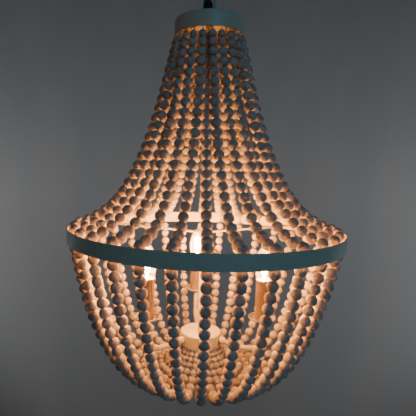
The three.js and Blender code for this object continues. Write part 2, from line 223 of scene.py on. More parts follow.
# %% Sweep a round rod along a path
def swept(path, radius, sides):
    """Points and faces of a round rod with flat ends along a list of points."""
    path = [Vector(p) for p in path]
    side = (path[1] - path[0]).orthogonal().normalized()
    points = []
    for i, place in enumerate(path):
        along = (path[min(i + 1, len(path) - 1)] - path[max(i - 1, 0)]).normalized()
        side = (side - side.dot(along) * along).normalized()
        other = along.cross(side)
        for k in range(sides):
            turn = 2 * math.pi * k / sides
            points.append(place + radius * (math.cos(turn) * side + math.sin(turn) * other))
    rows = [list(range(i * sides, (i + 1) * sides)) for i in range(len(path))]
    return points, skin(rows) + [rows[0][::-1], rows[-1]]


# %% Move shapes and join them
def moved(shape, place):
    points, faces = shape
    return [place @ Vector(p) for p in points], faces


def together(*shapes):
    """Several shapes as one list of points and one of faces."""
    points, faces = [], []
    for more_points, more_faces in shapes:
        faces += [[corner + len(points) for corner in face] for face in more_faces]
        points += [tuple(p) for p in more_points]
    return points, faces


def facing(degrees_from_front):
    """Turns a shape made along +X to a heading, counted from the front (-Y) round towards +X."""
    return Matrix.Rotation(math.radians(degrees_from_front - 90), 4, "Z")


# %% [markdown]
# ## From a shape to a piece
#
# A piece is a mesh with a finish that rides on a body, so it moves as the joints do, and it hides
# the solids that it stands for. Real edges are never knife sharp. Rounding them in the outlines
# would cost many rows, so a bevel modifier breaks each edge that is sharper than a limit, and its
# narrow face catches the light.

# %% Make a piece from points and faces
SHARP = math.radians(38)
SOFT_EDGE = 0.3 * MM
ROUND_EDGE = 0.4 * MM
RING_EDGE = 0.5 * MM
EDGE_STEPS = 2
# the sides of round pieces, from a wire to the ring
WIRE_SIDES, SPOKE_SIDES, ROD_SIDES, CORD_SIDES, FITTING_SIDES, COLLAR_SIDES = 6, 16, 20, 24, 32, 40
GLASS_SIDES, PAN_SIDES, HUB_SIDES, ROSE_SIDES, CROWN_SIDES, RING_SIDES = 48, 64, 80, 96, 120, 240


def piece(name, shape, finish, body, slot, *stands_for, edge=0.0):
    """A mesh object that rides on a body. With no body, it rides on none."""
    points, faces = shape
    mesh = bpy.data.meshes.new(name)
    mesh.from_pydata([tuple(p) for p in points], [], faces)
    mesh.validate()
    made = bpy.data.objects.new(name, mesh)
    bpy.context.collection.objects.link(made)
    for one in finish if isinstance(finish, tuple) else (finish,):
        mesh.materials.append(one)
    mesh.shade_smooth()
    mesh.set_sharp_from_angle(angle=SHARP)
    if edge:
        bevel = made.modifiers.new("rounded corners", "BEVEL")
        bevel.width, bevel.segments = edge, EDGE_STEPS
        bevel.limit_method, bevel.angle_limit = "ANGLE", SHARP
        bevel.harden_normals = True
    if body:
        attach(made, body)
    if stands_for:
        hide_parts(*stands_for)
    return made


# %% [markdown]
# ## Shader maths
#
# A finish is easier to read as a sum than as a plate of nodes. This small class wraps a socket, and
# an expression on it adds the Math nodes that it needs.

# %% Wrap a socket
class Value:
    """One number that changes over a surface, in one material's node tree."""

    def __init__(self, finish, socket):
        self.finish, self.socket = finish, socket

    def worked(self, operation, first, second):
        return self.finish.node("ShaderNodeMath", {0: first, 1: second}, operation=operation)

    def __add__(self, other):
        return self.worked("ADD", self, other)

    def __sub__(self, other):
        return self.worked("SUBTRACT", self, other)

    def __rsub__(self, other):
        return self.worked("SUBTRACT", other, self)

    def __mul__(self, other):
        return self.worked("MULTIPLY", self, other)

    __radd__ = __add__
    __rmul__ = __mul__

    def at_least(self, other):
        return self.worked("MAXIMUM", self, other)

    def size(self):
        """The value without its sign."""
        return self.finish.node("ShaderNodeMath", {0: self}, operation="ABSOLUTE")

    def clipped(self, start, end):
        """0 at start and 1 at end, and level beyond them."""
        given = {"Value": self, "From Min": start, "From Max": end}
        return self.finish.node("ShaderNodeMapRange", given, interpolation_type="SMOOTHSTEP")


# %% Wrap a material
class Finish:
    """A material with one Principled shader and helpers that add nodes to it."""

    def __init__(self, name, roughness, metallic=0.0, **fixed):
        self.material = bpy.data.materials.new(name)
        self.material.use_nodes = True
        self.tree = self.material.node_tree
        self.shader = self.tree.nodes["Principled BSDF"]
        self.fix("Roughness", roughness)
        self.fix("Metallic", metallic)
        for socket, value in fixed.items():
            self.fix(socket.replace("_", " "), value)

    def fix(self, socket, value):
        """Gives a socket of the shader one value all over."""
        self.shader.inputs[socket].default_value = value

    def set(self, socket, value):
        """Lets a socket of the shader change over the surface."""
        self.tree.links.new(value.socket, self.shader.inputs[socket])

    def node(self, kind, given=None, out=0, **settings):
        """Adds a node: its settings first, then the values or links of its sockets."""
        made = self.tree.nodes.new(kind)
        for setting, value in settings.items():
            setattr(made, setting, value)
        for socket, value in (given or {}).items():
            if isinstance(value, Value):
                self.tree.links.new(value.socket, made.inputs[socket])
            else:
                made.inputs[socket].default_value = value
        return Value(self, made.outputs[out])

    def place(self):
        return self.node("ShaderNodeTexCoord", out="Object")

    def stored(self, name, out="Fac"):
        return self.node("ShaderNodeAttribute", out=out, attribute_name=name)

    def stretched(self, vector, scale):
        return self.node("ShaderNodeMapping", {"Vector": vector, "Scale": scale})

    def noise(self, vector, scale, detail=4.0, roughness=0.55):
        given = {"Vector": vector, "Scale": scale, "Detail": detail, "Roughness": roughness}
        return self.node("ShaderNodeTexNoise", given, out="Fac")

    def height_of(self, vector):
        return self.node("ShaderNodeSeparateXYZ", {0: vector}, out="Z")

    def mixed(self, share, first, second):
        """A colour between two. The Mix node's sockets 0, 6 and 7 are its factor and its two colours."""
        first, second = ((*c, 1.0) if isinstance(c, tuple) else c for c in (first, second))
        given = {0: share, 6: first, 7: second}
        return self.node("ShaderNodeMix", given, out=2, data_type="RGBA", clamp_factor=True)

    def bumped(self, height, distance, strength):
        given = {"Height": height, "Distance": distance, "Strength": strength}
        self.set("Normal", self.node("ShaderNodeBump", given, out="Normal"))


# %% [markdown]
# ## Painted metal
#
# The crown, ring and hub are pressed steel in an off-white satin paint. One flat colour would do
# from afar, but sprayed paint is never quite even: it has a fine orange peel and faint cloudy dirt,
# and it is rubbed thin along edges. The edges could be found by how the surface bends, but that
# costs time in every render. Here they are found by height, because each of these pieces has its
# edges at known heights.

# %% Spray the paint
PAINT = (0.60, 0.53, 0.385)
DIRT = (0.42, 0.38, 0.31)
BARE = (0.30, 0.27, 0.24)
DIRT_SHARE = 0.35
BARE_SHARE = 0.8
DIRT_SPAN = (0.48, 0.8)  # a span is where a noise starts to show, and where it shows in full
BARE_SPAN = (0.52, 0.62)
PAINT_ROUGHNESS = (0.36, 0.56)
RUBBED_WIDTH = 1.3 * MM
PEEL_DEPTH = 0.12 * MM


def paint(name, edges=()):
    finish = Finish(name, roughness=0.42)
    place = finish.place()
    cloud = finish.noise(place, scale=22.0, detail=5.0)
    colour = finish.mixed(cloud.clipped(*DIRT_SPAN) * DIRT_SHARE, PAINT, DIRT)
    rubbed = None
    for edge in edges:
        near = 1 - (finish.height_of(place) - edge).size().clipped(0.0, RUBBED_WIDTH)
        rubbed = rubbed.at_least(near) if rubbed else near
    if rubbed:
        patches = finish.noise(place, scale=160.0, detail=6.0, roughness=0.7).clipped(*BARE_SPAN)
        colour = finish.mixed(rubbed * patches * BARE_SHARE, colour, BARE)
    finish.set("Base Color", colour)
    finish.set("Roughness", between(*PAINT_ROUGHNESS, cloud))
    finish.bumped(finish.noise(place, scale=900.0, detail=2.0), PEEL_DEPTH, strength=0.35)
    return finish.material


crown_paint = paint("crown paint", (crown_bottom, crown_top))
ring_paint = paint("ring paint", (ring_bottom, ring_top))
hub_paint = paint("hub paint", (hub_bottom, hub_top))
plain_paint = paint("plain paint")
print("paint", len(crown_paint.node_tree.nodes), "nodes")


# %% Make a painted piece of the hanging light
def painted(name, shape, *stands_for, finish=plain_paint, edge=SOFT_EDGE):
    return piece(name, shape, finish, "fixture", "white_paint", *stands_for, edge=edge)


# %% [markdown]
# ## Wooden beads
#
# The beads are turned from pale wood and whitewashed. The wash fills the pores and leaves streaks
# along the grain, and no two beads have the same tone. A material for each bead would make hundreds
# of them. Instead, each bead's points store its tone and a place of its own in the grain, so one
# material serves all the beads.

# %% Wash the wood
WOOD = (0.41, 0.335, 0.275)
WASH = (0.55, 0.495, 0.44)
DARK_WOOD = (0.24, 0.18, 0.135)
FIBRE_STRETCH = (1.0, 1.0, 0.16)  # the grain runs along the bore
GROWTH_STRETCH = (1.0, 0.35, 0.3)
FIBRE_SPAN, WASH_SPAN, GROWTH_SPAN = (0.3, 0.7), (0.3, 0.62), (0.56, 0.66)
WASH_SHARES = (0.35, 0.9)  # of the wash, on bare wood and in its patches
GROWTH_SHARE = 0.15
TONE_SHARE = 0.3
WOOD_ROUGHNESS = (0.5, 0.75)
PORE_DEPTH = 0.12 * MM


def bead_wood():
    finish = Finish("bead wood", roughness=0.62, Specular_IOR_Level=0.15)
    grain = finish.stored("grain", "Vector")
    tone = finish.stored("tone")
    fibres = finish.noise(finish.stretched(grain, FIBRE_STRETCH), scale=5.5, detail=6.0, roughness=0.62)
    growth = finish.noise(finish.stretched(grain, GROWTH_STRETCH), scale=1.6, detail=3.0)
    patches = finish.noise(grain, scale=1.1, detail=3.0)
    colour = finish.mixed(fibres.clipped(*FIBRE_SPAN), DARK_WOOD, WOOD)
    colour = finish.mixed(between(*WASH_SHARES, patches.clipped(*WASH_SPAN)), colour, WASH)
    colour = finish.mixed(growth.clipped(*GROWTH_SPAN) * GROWTH_SHARE, colour, DARK_WOOD)
    colour = finish.mixed(tone * TONE_SHARE, colour, DARK_WOOD)
    finish.set("Base Color", colour)
    finish.set("Roughness", between(*WOOD_ROUGHNESS, fibres))
    finish.bumped(fibres, PORE_DEPTH, strength=0.4)
    return finish.material


wood = bead_wood()
print("wood", len(wood.node_tree.nodes), "nodes")

# %% [markdown]
# ## Wax
#
# The sleeves are card dipped in wax: warm, slightly see-through and mottled, with darker streaks
# down their length. A little light is scattered under the surface, because wax without it looks
# like painted tin.

# %% Dip the sleeves
WAX = (0.20, 0.13, 0.078)
LIGHT_WAX = (0.27, 0.19, 0.122)
WAX_STREAK = (0.12, 0.07, 0.038)
WAX_STRETCH = (1.0, 1.0, 0.2)
MOTTLE_SPAN, STREAK_SPAN = (0.35, 0.7), (0.5, 0.75)
STREAK_SHARE = 0.5
WAX_ROUGHNESS = (0.35, 0.6)
WAX_DEPTH = 0.3 * MM


def wax_finish():
    finish = Finish("dripped wax", roughness=0.45, Subsurface_Weight=0.05, Subsurface_Scale=0.004)
    place = finish.place()
    mottle = finish.noise(place, scale=60.0)
    streaks = finish.noise(finish.stretched(place, WAX_STRETCH), scale=130.0)
    colour = finish.mixed(mottle.clipped(*MOTTLE_SPAN), WAX, LIGHT_WAX)
    finish.set("Base Color", finish.mixed(streaks.clipped(*STREAK_SPAN) * STREAK_SHARE, colour, WAX_STREAK))
    finish.set("Roughness", between(*WAX_ROUGHNESS, streaks))
    finish.bumped(mottle + STREAK_SHARE * streaks, WAX_DEPTH, strength=0.4)
    return finish.material


wax = wax_finish()
print("wax", len(wax.node_tree.nodes), "nodes")

# %% [markdown]
# ## Glass and glow
#
# The bulbs are clear glass round a lit filament. True glass bends every ray, which is slow and
# noisy with a lamp inside it. So the glass is mostly see-through, with faint streaks, and glows
# with a haze of its own that fades towards the tip. The filaments are one glowing core that lights
# the beads, dull like an ember at its foot.

# %% Blow clear glass
HAZE_FROM, HAZE_TO = 0.5, 0.95  # shares of the glass's height
HAZE_STREAK_SHARE = 0.45
HAZE_STRENGTH = 2.0
HAZE = (1.0, 0.80, 0.56)
FAINT_HAZE = (0.22, 0.17, 0.13)
GLASS_ALPHA = 0.14
GLASS = (0.20, 0.18, 0.16)
GLASS_STREAK = (0.50, 0.46, 0.42)
GLASS_STRETCH = (1.0, 1.0, 0.15)
GLASS_SPAN = (0.4, 0.7)
GLASS_ROUGHNESS = (0.05, 0.1)
glass_foot = high("candle_sleeve_1")
glass_height = high("bulb_1") - glass_foot


def glass_finish():
    finish = Finish("clear glass", roughness=0.06, Alpha=GLASS_ALPHA, Emission_Strength=HAZE_STRENGTH)
    place = finish.place()
    from_level, to_level = glass_foot + HAZE_FROM * glass_height, glass_foot + HAZE_TO * glass_height
    away = finish.height_of(place).clipped(from_level, to_level)
    streaks = finish.noise(finish.stretched(place, GLASS_STRETCH), scale=140.0, detail=3.0)
    streaks = streaks.clipped(*GLASS_SPAN)
    finish.set("Base Color", finish.mixed(streaks, GLASS, GLASS_STREAK))
    finish.set("Roughness", between(*GLASS_ROUGHNESS, streaks))
    haze = finish.mixed(away, HAZE, FAINT_HAZE)
    finish.set("Emission Color", finish.mixed(streaks * HAZE_STREAK_SHARE, haze, FAINT_HAZE))
    return finish.material


clear_glass = glass_finish()
print("glass height in mm", round(glass_height / MM, 1))

# %% Light the core
CORE_STRENGTH = 1350.0
GLOW = (1.0, 0.41, 0.115)
EMBER = (0.75, 0.30, 0.09)
EMBER_HEIGHT = 0.2  # share of the glass's height


def core_finish():
    finish = Finish("glowing filament", roughness=0.5, Emission_Strength=CORE_STRENGTH)
    lit = finish.height_of(finish.place()).clipped(glass_foot, glass_foot + EMBER_HEIGHT * glass_height)
    finish.set("Emission Color", finish.mixed(lit, EMBER, GLOW))
    return finish.material


glowing = core_finish()
print("ember height in mm", round(EMBER_HEIGHT * glass_height / MM, 1))

# %% [markdown]
# ## Metal and mouldings
#
# Zinc plated steel, cap brass, black plastic, the cord's sheath and porcelain are small in the
# picture, so two recipes serve all five. Metal is brushed: its roughness and tone follow one
# stretched noise. A moulding is smeared by hands and has a fine speck in its skin.

# %% Mix the fittings' finishes
BRUSH_STRETCH = (1.0, 1.0, 8.0)
BRUSHED_SPAN, SMEAR_SPAN = (0.4, 0.75), (0.45, 0.75)
SMEAR_SHARE = 0.6
ROUGHNESS_SPREAD = 0.2
SKIN_DEPTH = 0.05 * MM


def metal_finish(name, colour, dark, roughness):
    finish = Finish(name, roughness, metallic=1.0)
    brushed = finish.noise(finish.stretched(finish.place(), BRUSH_STRETCH), scale=140.0)
    finish.set("Base Color", finish.mixed(brushed.clipped(*BRUSHED_SPAN), colour, dark))
    finish.set("Roughness", roughness + ROUGHNESS_SPREAD * brushed)
    finish.bumped(brushed, SKIN_DEPTH, strength=0.3)
    return finish.material


def moulded_finish(name, colour, worn, roughness):
    finish = Finish(name, roughness)
    place = finish.place()
    speck = finish.noise(place, scale=500.0, detail=3.0)
    smear = finish.noise(place, scale=60.0, detail=3.0)
    finish.set("Base Color", finish.mixed(smear.clipped(*SMEAR_SPAN) * SMEAR_SHARE, colour, worn))
    finish.set("Roughness", roughness + ROUGHNESS_SPREAD * smear)
    finish.bumped(speck, SKIN_DEPTH, strength=0.4)
    return finish.material


steel = metal_finish("zinc plated steel", (0.62, 0.62, 0.60), (0.38, 0.37, 0.34), 0.35)
brass = metal_finish("cap brass", (0.72, 0.55, 0.28), (0.45, 0.32, 0.14), 0.3)
black = moulded_finish("black plastic", (0.018, 0.019, 0.022), (0.05, 0.05, 0.05), 0.35)
sheath = moulded_finish("black cord sheath", (0.02, 0.02, 0.022), (0.045, 0.045, 0.045), 0.5)
porcelain = moulded_finish("porcelain", (0.80, 0.78, 0.73), (0.66, 0.62, 0.55), 0.15)
print("materials, with the frame's own", len(bpy.data.materials))

# %% [markdown]
# ## The cord
#
# A black cord drops from the rose beside the hook and ends in a tapered grip on the crown. It hangs
# taut between the two, so its length is that of the straight run. As the light swings, one end
# stays with the ceiling and the other goes with the crown. A rigid rod would leave one of them, so
# the cord rides on neither body. It has enough rows of points along it that it could bend
# smoothly.

# %% Run the cord
CORD_POINTS = 16
cord_axis = axis_of("supply_cord")
cord_radius = half_width("supply_cord")
cord_run = [
    cord_axis + Vector((0, 0, between(low("supply_cord"), high("supply_cord"), k / (CORD_POINTS - 1))))
    for k in range(CORD_POINTS)
]
cord_shape = swept(cord_run, cord_radius, CORD_SIDES)
cord = piece("supply_cord_sheath", cord_shape, sheath, None, "cord_black", "supply_cord")
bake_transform(cord)

# %% [markdown]
# ## The cord's grip and gland
#
# The grip is black plastic with ribs that let it bend with the cord, thinner towards its neck. The
# gland holds the cord's other end in the rose. Both are turned, because ribs cut into the outline
# keep their shape from every side, where ribs in a bump would vanish at the edge.

# %% Mould the grip and the gland
GRIP_RADIUS = half_depth("cord_grip")
GRIP_NECK = cord_radius + 0.9 * MM
GRIP_RIBS = 4
# shares of the grip's height and radius
FLANGE_TOP, FLANGE_SLOPE, ABOVE_FLANGE = 0.1, 0.14, 0.93
RIBS_FROM, RIBS_TO, FIRST_RIB, LAST_RIB = 0.3, 0.86, 0.9, 0.78
RIB_GROOVE = [(0, -1.2), (-0.7, -0.8), (-0.7, 0.4), (0, 0.8)]
NECK_STEPS = [(1.5, -0.5), (0, 0)]
GLAND_STEPS = [(0.2, 0), (0.2, -5), (1.5, -5), (3, -2), (3.4, 0)]


def grip_outline():
    foot, top = low("cord_grip"), high("cord_grip")
    outline = [(0, foot), (GRIP_RADIUS, foot), (GRIP_RADIUS, between(foot, top, FLANGE_TOP))]
    outline.append((GRIP_RADIUS * ABOVE_FLANGE, between(foot, top, FLANGE_SLOPE)))
    for k in range(GRIP_RIBS):
        share = k / (GRIP_RIBS - 1)
        reach = GRIP_RADIUS * between(FIRST_RIB, LAST_RIB, share)
        outline += stepped(reach, between(foot, top, between(RIBS_FROM, RIBS_TO, share)), RIB_GROOVE)
    return outline + [*stepped(GRIP_NECK, top, NECK_STEPS), (0, top)]


gland_outline = stepped(cord_radius, low("ceiling_rose"), GLAND_STEPS)
grip_shape = moved(turned(grip_outline(), FITTING_SIDES), Matrix.Translation(axis_of("cord_grip")))
gland_shape = moved(turned(gland_outline, FITTING_SIDES, True), Matrix.Translation(cord_axis))
piece("grip_body", grip_shape, black, "fixture", "grip_black", "cord_grip", edge=ROUND_EDGE)
gland = piece("cord_gland", gland_shape, black, "ceiling", "grip_black", edge=SOFT_EDGE)
print("grip height in mm", round((high("cord_grip") - low("cord_grip")) / MM, 1))

# %% [markdown]
# ## How a string hangs
#
# A string of beads held at two points takes the shape of a catenary. A cloth or chain simulation
# would find it too, slowly and a little differently at each run. But its length and the two points
# settle it: the sag is found by halving an interval until the curve has the string's length.

# %% Hang a chain
LEAST_BEND, MOST_BEND = 0.001, 20.0  # half the width over the chain's radius at its lowest point
HALVINGS = 60


def hanging_chain(start, end, length):
    """The place after a length along a chain that hangs from start to end, each a (radius, height)."""
    across, rise = abs(end[0] - start[0]), end[1] - start[1]
    side = 1 if end[0] > start[0] else -1
    target = math.sqrt(length**2 - rise**2) / across
    under, over = LEAST_BEND, MOST_BEND
    for _ in range(HALVINGS):
        middle = (under + over) / 2
        if math.sinh(middle) / middle < target:
            under = middle
        else:
            over = middle
    lowest_radius = across / (2 * under)
    lowest = across / 2 - lowest_radius * math.atanh(rise / length)
    before = lowest_radius * math.sinh(-lowest / lowest_radius)

    def place(run):
        x = lowest + lowest_radius * math.asinh((run + before) / lowest_radius)
        up = lowest_radius * (math.cosh((x - lowest) / lowest_radius) - math.cosh(lowest / lowest_radius))
        return start[0] + side * x, start[1] + up

    return place


straight_way = math.dist((crown_radius, crown_bottom), (ring_radius, ring_top))
print("from crown to ring in mm", round(straight_way / MM), "in a straight line")

# %% [markdown]
# ## Threading the beads
#
# On the real light the beads are one size where there is room, and the first three of each string
# are smaller. Near the crown the strings crowd each other, so a bead there can't be wider than the
# space to its neighbours. One string in four starts further in, which makes that space. Beads at a
# fixed pitch would cut into each other, so each one is sized by the room at its own place, and then
# the next is set beside it.

# %% Size and space the beads
BEAD = 18 * MM
BEAD_GAP = 0.5 * MM
LEAD_SHARES = (0.75, 0.86, 0.92)
ROW_OF = 4  # one string of these is tucked in
TUCK = 18 * MM
RING_TURN = 2 * math.pi / STRINGS
CROWN_TURN = RING_TURN * ROW_OF / (ROW_OF - 1)


def apart(reach, share, tucked):
    """How far the strings beside a string are from it, at its reach and its share of the way to the ring."""
    offset = TUCK * (1 - share)
    turn = between(CROWN_TURN / 2, RING_TURN, share)
    across = (2 * reach + (offset if tucked else -offset)) * math.sin(turn / 2)
    to_other_row = math.hypot(offset, across)
    in_row = 2 * reach * math.sin(between(CROWN_TURN, RING_TURN, share) / 2)
    return to_other_row if tucked else min(to_other_row, in_row)


def threaded(chain, length, leads, room):
    """(run, size) of each bead. A bead is full size unless it leads or its neighbours leave it less room."""
    beads, used = [], 0.0
    while True:
        reach = chain(min(used + BEAD / 2, length))[0]
        whole = BEAD * (leads[len(beads)] if len(beads) < len(leads) else 1)
        size = min(whole, room(reach, min(used / length, 1)) - BEAD_GAP)
        pitch = size + BEAD_GAP
        if used + pitch > length:
            break
        beads.append((used + pitch / 2, size))
        used += pitch
    spare = (length - used) / len(beads)
    return [(run + (k + 0.5) * spare, size) for k, (run, size) in enumerate(beads)]


print("strings apart at the ring in mm", round(ring_radius * RING_TURN / MM, 1))

# %% [markdown]
# ## One bead
#
# A bead is a ball turned on a lathe with a hole drilled through it, and the drill leaves a small
# flat round each end of the hole. A plain sphere would have no hole to show at the ends of a
# string. Here the outline is an arc closed by the bore, so the bead is a solid with a true hole.

# %% Turn one bead
BEAD_SIDES = 24
BEAD_ARCS = 12
BORE = 0.13  # shares of the bead's radius
BORE_EDGE = 1.6 * BORE
BORE_SINK = 0.97


def one_bead():
    start = math.asin(BORE_EDGE)
    outline = arc((0, 0), 1, QUARTER - start, start - QUARTER, BEAD_ARCS)
    lip = BORE_SINK * math.cos(start)
    points, faces = turned([(BORE, lip), *outline, (BORE, -lip)], BEAD_SIDES, True)
    return np.array(points), [face[::-1] for face in faces]


bead_points, bead_faces = one_bead()
print("bead", len(bead_points), "points", len(bead_faces), "faces")

# %% [markdown]
# ## Thirty-two strings
#
# Each string hooks inside the crown, passes behind the ring and ends under the hub. The crown is
# turned a few degrees against the ring, so a string leans aside as it falls. Each has its wire,
# which shows at the crown and behind the ring.

# %% Place the strings' ends
STRING_HEADING = 1.3
CROWN_TWIST = -4
WIRE = 0.9 * MM
WIRE_STEPS = 40
HOOK_DROP = 5 * MM
HANG_DROP = 24 * MM
UPPER_SHARE = 1.06  # lengths, in shares of the straight way
TUCKED_SHARE = 1.048
LOWER_SHARE = 1.34
BARE_END = 4 * MM
CROWN_WALL = 1.6 * MM
RING_WALL = 2 * MM
HUB_WALL = 1.5 * MM
RING_FACETS = 60
crown_flat = (crown_radius - CROWN_WALL) * math.cos(math.pi / STRINGS)
ring_inner = (ring_radius - RING_WALL) * math.cos(math.pi / RING_FACETS)


def string_runs(place):
    """A string's beads as (centre, direction, size), and its wire's line. place is its place in its group."""
    tucked = place == 0
    spread = 0 if tucked else (place - ROW_OF / 2) * (CROWN_TURN - RING_TURN)
    lean = spread + math.radians(CROWN_TWIST)
    hook_circle = crown_flat - FIT - WIRE - (TUCK if tucked else 0)
    start = (hook_circle * math.cos(lean), crown_bottom - HOOK_DROP)
    ring_upper = (ring_inner - FIT - WIRE, ring_top)
    ring_lower = (ring_inner - FIT - WIRE, ring_top - HANG_DROP + BEAD / 2)
    under = (ring_inner - FIT - BEAD / 2, ring_top - HANG_DROP)
    end = (hub_radius - HUB_WALL - WIRE, plate_bottom - FIT)
    upper_length = (TUCKED_SHARE if tucked else UPPER_SHARE) * math.dist(start, ring_upper)
    lower_length = LOWER_SHARE * math.dist(under, end)
    upper, lower = hanging_chain(start, ring_upper, upper_length), hanging_chain(under, end, lower_length)

    def spot(x, z):
        back = (ring_upper[0] - x) / (ring_upper[0] - start[0]) if z > ring_top else 0
        return Vector((x, hook_circle * math.sin(lean) * max(0.0, min(back, 1.0)), z))

    above = threaded(upper, upper_length, LEAD_SHARES, lambda reach, share: apart(reach, share, tucked))
    below = threaded(lower, lower_length - BARE_END, (), lambda reach, share: apart(reach, 1, False))
    beads = []
    for chain, run, size in [(upper, *bead) for bead in above] + [(lower, *bead) for bead in below]:
        centre, ahead = spot(*chain(run)), spot(*chain(run + WIRE))
        beads.append((centre, (ahead - centre).normalized(), size))
    line = [(start[0], crown_top - CROWN_WALL - FIT)]
    line += [upper(upper_length * k / WIRE_STEPS) for k in range(WIRE_STEPS + 1)]
    line += [ring_lower, under]
    line += [lower(lower_length * k / WIRE_STEPS) for k in range(1, WIRE_STEPS + 1)]
    return beads, [spot(*point) for point in line]


print("beads on a tucked string and on the next", [len(string_runs(place)[0]) for place in (0, 1)])

# %% [markdown]
# ## No two beads alike
#
# Turned beads differ a little in size and sit askew on their wire. Copies of one bead would show as
# a pattern, so each is tilted, turned, shrunk and shifted by chance. The chance starts from a fixed
# number, so every run gives the same light. Thousands of objects would be slow, so a string is one
# mesh.

# %% Set each bead askew
ASKEW = math.radians(4)
SLACK = 0.15 * MM
SNUG = 0.15 * MM  # each bead takes up this much of the gap beside it
SHRINK = 0.015
GRAIN_SPREAD = 50
WIRE_TONE = 0.5
chance = random.Random(12)


def string_shape(place):
    """Points, faces, and each point's tone and grain place, for one string, and the wire's first face."""
    beads, line = string_runs(place)
    points, faces, tones, grains = [], [], [], []
    for centre, along, size in beads:
        tilt = Vector((chance.gauss(0, 1), chance.gauss(0, 1), chance.gauss(0, 1))).normalized()
        spin = along.to_track_quat("Z", "Y").to_matrix()
        spin = Matrix.Rotation(chance.uniform(-ASKEW, ASKEW), 3, tilt) @ spin
        spin = spin @ Matrix.Rotation(chance.uniform(0, 2 * math.pi), 3, "Z")
        reach = size / 2 * (1 - chance.uniform(0, SHRINK)) + SNUG
        centre = np.array(centre + tilt * chance.uniform(0, SLACK))
        faces += [[corner + len(points) for corner in face] for face in bead_faces]
        points += (bead_points @ (np.array(spin).T * reach) + centre).tolist()
        tones += [chance.random() ** 2] * len(bead_points)
        offset = np.array([chance.uniform(-GRAIN_SPREAD, GRAIN_SPREAD) for _ in range(3)])
        grains += (bead_points + offset).tolist()
    wire_from = len(faces)
    wire = swept(line, WIRE, WIRE_SIDES)
    tones += [WIRE_TONE] * len(wire[0])
    grains += [(0.0, 0.0, 0.0)] * len(wire[0])
    return together((points, faces), wire), tones, grains, wire_from


# %% Thread them all
def string(number):
    turn = facing(STRING_HEADING + 360 * (number - 1) / STRINGS)
    shape, tones, grains, wire_from = string_shape((number - 1) % ROW_OF)
    name, node = f"string_{number:02d}", f"strand_{number:02d}"
    made = piece(name, moved(shape, turn), (wood, steel), "fixture", "bead_wood", node)
    mesh = made.data
    mesh.attributes.new("tone", "FLOAT", "POINT").data.foreach_set("value", tones)
    mesh.attributes.new("grain", "FLOAT_VECTOR", "POINT").data.foreach_set("vector", np.array(grains).ravel())
    slots = np.zeros(len(mesh.polygons), np.int32)
    slots[wire_from:] = 1
    mesh.polygons.foreach_set("material_index", slots)
    return made


strings = [string(number) for number in range(1, STRINGS + 1)]
print("strings", len(strings), "faces", sum(len(made.data.polygons) for made in strings))

# %% [markdown]
# ## Crown and loop
#
# The crown is a pressed cup, open below, with a round corner where its top turns into its wall. A
# cylinder with a bevel would be as round outside, but solid, and the strings hang from its hollow.
# So its outline runs round the sheet on both sides. The loop is a bent rod that stands in a turned
# collar.

# %% Press the crown
PRESS = 4 * MM  # radius of the pressed corner
PRESS_STEPS = 6
press_centre = (crown_radius - PRESS, crown_top - PRESS)
crown_outline = [
    (pipe_bore, crown_top - CROWN_WALL), *arc(press_centre, PRESS - CROWN_WALL, QUARTER, 0, PRESS_STEPS),
    (crown_radius - CROWN_WALL, crown_bottom), (crown_radius, crown_bottom),
    *arc(press_centre, PRESS, 0, QUARTER, PRESS_STEPS), (pipe_bore, crown_top),
]
crown_shape = turned(crown_outline, CROWN_SIDES, True)
painted("crown", crown_shape, "crown_cap", finish=crown_paint, edge=ROUND_EDGE)
print("crown height in mm", round((crown_top - crown_bottom) / MM, 1))

# %% Bend the loop
LOOP_ROD = 3.25 * MM
LOOP_STEPS = 20
LOOP_SUNK = 4 * MM  # how far the legs stand in the collar
LOOP_COLLAR = 10
COLLAR_STEPS = [(0, 0), (0, 2), (-0.8, 2.6), (-0.8, 7), (0, 7.6), (0, LOOP_COLLAR)]
collar_foot = low("hanging_loop")
collar_top = collar_foot + LOOP_COLLAR * MM
loop_bend = half_width("hanging_loop") - LOOP_ROD
loop_leg_top = high("hanging_loop") - LOOP_ROD - loop_bend
leg_points = [collar_top - LOOP_SUNK, (collar_top + loop_leg_top) / 2]
loop_path = [
    *[(-loop_bend, 0, z) for z in leg_points],
    *[(x, 0, z) for x, z in arc((0, loop_leg_top), loop_bend, 2 * QUARTER, 0, LOOP_STEPS)],
    *[(loop_bend, 0, z) for z in leg_points[::-1]],
]
collar_skin = stepped(half_depth("hanging_loop"), collar_foot, COLLAR_STEPS)
collar_shape = turned([(pipe_bore, collar_foot), *collar_skin, (pipe_bore, collar_top)], COLLAR_SIDES, True)
painted("loop", together(swept(loop_path, LOOP_ROD, ROD_SIDES), collar_shape), "hanging_loop")
print("loop bend in mm", round(loop_bend / MM, 2))

# %% [markdown]
# ## Ring, spokes and column
#
# The ring is a flat strip bent round and welded. Three thin rods hold it from a collar on the
# column, which is a sleeve over the threaded pipe that carries everything. All are turned or swept
# with a closed section, so each is hollow where the real one is.

# %% Roll the ring
def tube(inner, outer, bottom, top):
    """The outline of a straight tube."""
    return [(inner, bottom), (outer, bottom), (outer, top), (inner, top)]


ring_shape = turned(tube(ring_radius - RING_WALL, ring_radius, ring_bottom, ring_top), RING_SIDES, True)
painted("ring", ring_shape, "main_ring", finish=ring_paint, edge=RING_EDGE)
print("ring height in mm", round((ring_top - ring_bottom) / MM, 1))

